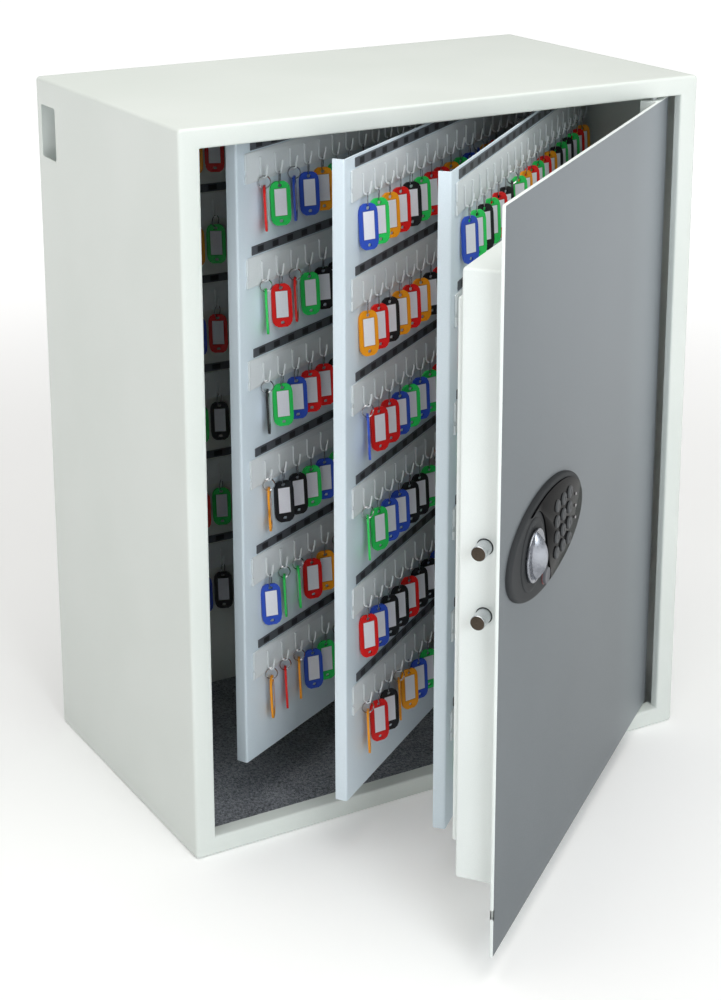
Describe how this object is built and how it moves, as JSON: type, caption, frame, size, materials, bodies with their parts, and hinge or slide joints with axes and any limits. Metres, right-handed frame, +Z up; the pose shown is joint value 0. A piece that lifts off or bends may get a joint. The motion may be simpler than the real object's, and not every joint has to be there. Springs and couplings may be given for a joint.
{
  "type": "key cabinet",
  "caption": "Steel key cabinet with an electronic lock door, swing-out leaves of hooks with colour-coded key tags and a side deposit slot.",
  "frame": {"origin": "centre of the underside of the cabinet", "axes": "+X to the right seen from the front, +Y to the back, +Z up; the door is stored open"},
  "size_m": [0.606, 0.674, 0.75],
  "materials": {
    "cream_paint": "satin powder coat",
    "pale_blue_paint": "satin",
    "charcoal_felt": "matt",
    "zinc_steel": "satin",
    "silver_grey_paint": "fine textured satin",
    "white_paint": "satin",
    "label_grey": "matt",
    "ring_steel": "bright",
    "tag_plastic": "semi gloss, mixed colours",
    "lock_matt_grey": "matt",
    "lock_gloss_black": "gloss",
    "lamp_red": "gloss",
    "dark_plastic": "matt",
    "satin_chrome": "satin",
    "key_grey": "matt"
  },
  "bodies": {
    "cabinet": {"cabinet_shell": "cream_paint", "back_panel": "cream_paint", "floor_carpet": "charcoal_felt", "deposit_chute": "pale_blue_paint", "hinge_pin_upper": "zinc_steel", "hinge_pin_lower": "zinc_steel", "leaf_bracket_upper": "cream_paint", "leaf_bracket_lower": "cream_paint", "wall_hook_bars": "white_paint", "wall_label_strips": "label_grey", "wall_key_rings": "ring_steel", "wall_key_tags": "tag_plastic"},
    "door": {"battery_case": "dark_plastic", "bolt_guides": "zinc_steel", "cover_screws": "zinc_steel", "door_cover": "white_paint", "door_skin": "silver_grey_paint", "door_tray": "white_paint", "hinge_bush_lower": "white_paint", "hinge_bush_upper": "white_paint", "keypad_panel": "lock_gloss_black", "knob_bushing": "zinc_steel", "knob_collar": "lock_matt_grey", "lock_case": "dark_plastic", "lock_escutcheon": "lock_matt_grey", "override_cap": "lock_gloss_black", "status_lights": "lamp_red"},
    "boltwork": {"bolt_lower": "satin_chrome", "bolt_upper": "satin_chrome", "bolt_carrier": "zinc_steel"},
    "knob": {"knob": "satin_chrome", "knob_spindle": "zinc_steel", "drive_crank": "zinc_steel"},
    "key_button_01": {"key_button_01": "key_grey"},
    "key_button_02": {"key_button_02": "key_grey"},
    "key_button_03": {"key_button_03": "key_grey"},
    "key_button_04": {"key_button_04": "key_grey"},
    "key_button_05": {"key_button_05": "key_grey"},
    "key_button_06": {"key_button_06": "key_grey"},
    "key_button_07": {"key_button_07": "key_grey"},
    "key_button_08": {"key_button_08": "key_grey"},
    "key_button_09": {"key_button_09": "key_grey"},
    "key_button_10": {"key_button_10": "key_grey"},
    "key_button_11": {"key_button_11": "key_grey"},
    "key_button_12": {"key_button_12": "key_grey"},
    "leaf_1": {"leaf_1_hook_bars": "white_paint", "leaf_1_key_rings": "ring_steel", "leaf_1_key_tags": "tag_plastic", "leaf_1_label_strips": "label_grey", "leaf_1_sheet": "white_paint"},
    "leaf_2": {"leaf_2_hook_bars": "white_paint", "leaf_2_key_rings": "ring_steel", "leaf_2_key_tags": "tag_plastic", "leaf_2_label_strips": "label_grey", "leaf_2_sheet": "white_paint"},
    "leaf_3": {"leaf_3_hook_bars": "white_paint", "leaf_3_key_rings": "ring_steel", "leaf_3_key_tags": "tag_plastic", "leaf_3_label_strips": "label_grey", "leaf_3_sheet": "white_paint"}
  },
  "joints": [
    {"name": "door_hinge", "type": "hinge", "parent": "cabinet", "child": "door", "pos_m": [0.2519, -0.165, 0.375], "axis": [0, 0, 1], "range_deg": [-37.94, 28]},
    {"name": "knob_turn", "type": "hinge", "parent": "door", "child": "knob", "pos_m": [-0.09677, -0.4495, 0.388], "axis": [-0.6148, 0.7887, 0], "range_deg": [0, 90.1]},
    {"name": "bolt_slide", "type": "slide", "parent": "door", "child": "boltwork", "axis": [-0.7887, -0.6148, 0], "range_m": [0, 0.02]},
    {"name": "leaf_1_hinge", "type": "hinge", "parent": "cabinet", "child": "leaf_1", "pos_m": [0.242, 0.124, 0.39], "axis": [0, 0, 1], "range_deg": [-26.05, 19.24]},
    {"name": "leaf_2_hinge", "type": "hinge", "parent": "cabinet", "child": "leaf_2", "pos_m": [0.257, 0.059, 0.39], "axis": [0, 0, 1], "range_deg": [-27.45, 20.27]},
    {"name": "leaf_3_hinge", "type": "hinge", "parent": "cabinet", "child": "leaf_3", "pos_m": [0.28, 0.005, 0.39], "axis": [0, 0, 1], "range_deg": [-28.69, 21.19]},
    {"name": "key_button_01_press", "type": "slide", "parent": "door", "child": "key_button_01", "axis": [-0.6148, 0.7887, 0], "range_m": [0, 0.001], "stiffness_N_per_m": 900},
    {"name": "key_button_02_press", "type": "slide", "parent": "door", "child": "key_button_02", "axis": [-0.6148, 0.7887, 0], "range_m": [0, 0.001], "stiffness_N_per_m": 900},
    {"name": "key_button_03_press", "type": "slide", "parent": "door", "child": "key_button_03", "axis": [-0.6148, 0.7887, 0], "range_m": [0, 0.001], "stiffness_N_per_m": 900},
    {"name": "key_button_04_press", "type": "slide", "parent": "door", "child": "key_button_04", "axis": [-0.6148, 0.7887, 0], "range_m": [0, 0.001], "stiffness_N_per_m": 900},
    {"name": "key_button_05_press", "type": "slide", "parent": "door", "child": "key_button_05", "axis": [-0.6148, 0.7887, 0], "range_m": [0, 0.001], "stiffness_N_per_m": 900},
    {"name": "key_button_06_press", "type": "slide", "parent": "door", "child": "key_button_06", "axis": [-0.6148, 0.7887, 0], "range_m": [0, 0.001], "stiffness_N_per_m": 900},
    {"name": "key_button_07_press", "type": "slide", "parent": "door", "child": "key_button_07", "axis": [-0.6148, 0.7887, 0], "range_m": [0, 0.001], "stiffness_N_per_m": 900},
    {"name": "key_button_08_press", "type": "slide", "parent": "door", "child": "key_button_08", "axis": [-0.6148, 0.7887, 0], "range_m": [0, 0.001], "stiffness_N_per_m": 900},
    {"name": "key_button_09_press", "type": "slide", "parent": "door", "child": "key_button_09", "axis": [-0.6148, 0.7887, 0], "range_m": [0, 0.001], "stiffness_N_per_m": 900},
    {"name": "key_button_10_press", "type": "slide", "parent": "door", "child": "key_button_10", "axis": [-0.6148, 0.7887, 0], "range_m": [0, 0.001], "stiffness_N_per_m": 900},
    {"name": "key_button_11_press", "type": "slide", "parent": "door", "child": "key_button_11", "axis": [-0.6148, 0.7887, 0], "range_m": [0, 0.001], "stiffness_N_per_m": 900},
    {"name": "key_button_12_press", "type": "slide", "parent": "door", "child": "key_button_12", "axis": [-0.6148, 0.7887, 0], "range_m": [0, 0.001], "stiffness_N_per_m": 900}
  ],
  "couplings": [
    {"joint": "knob_turn", "follows": "bolt_slide", "rad_per_m": 78.54},
    {"joint": "leaf_1_hinge", "follows": "door_hinge", "ratio": 0.68529},
    {"joint": "leaf_2_hinge", "follows": "door_hinge", "ratio": 0.72219},
    {"joint": "leaf_3_hinge", "follows": "door_hinge", "ratio": 0.75488}
  ]
}
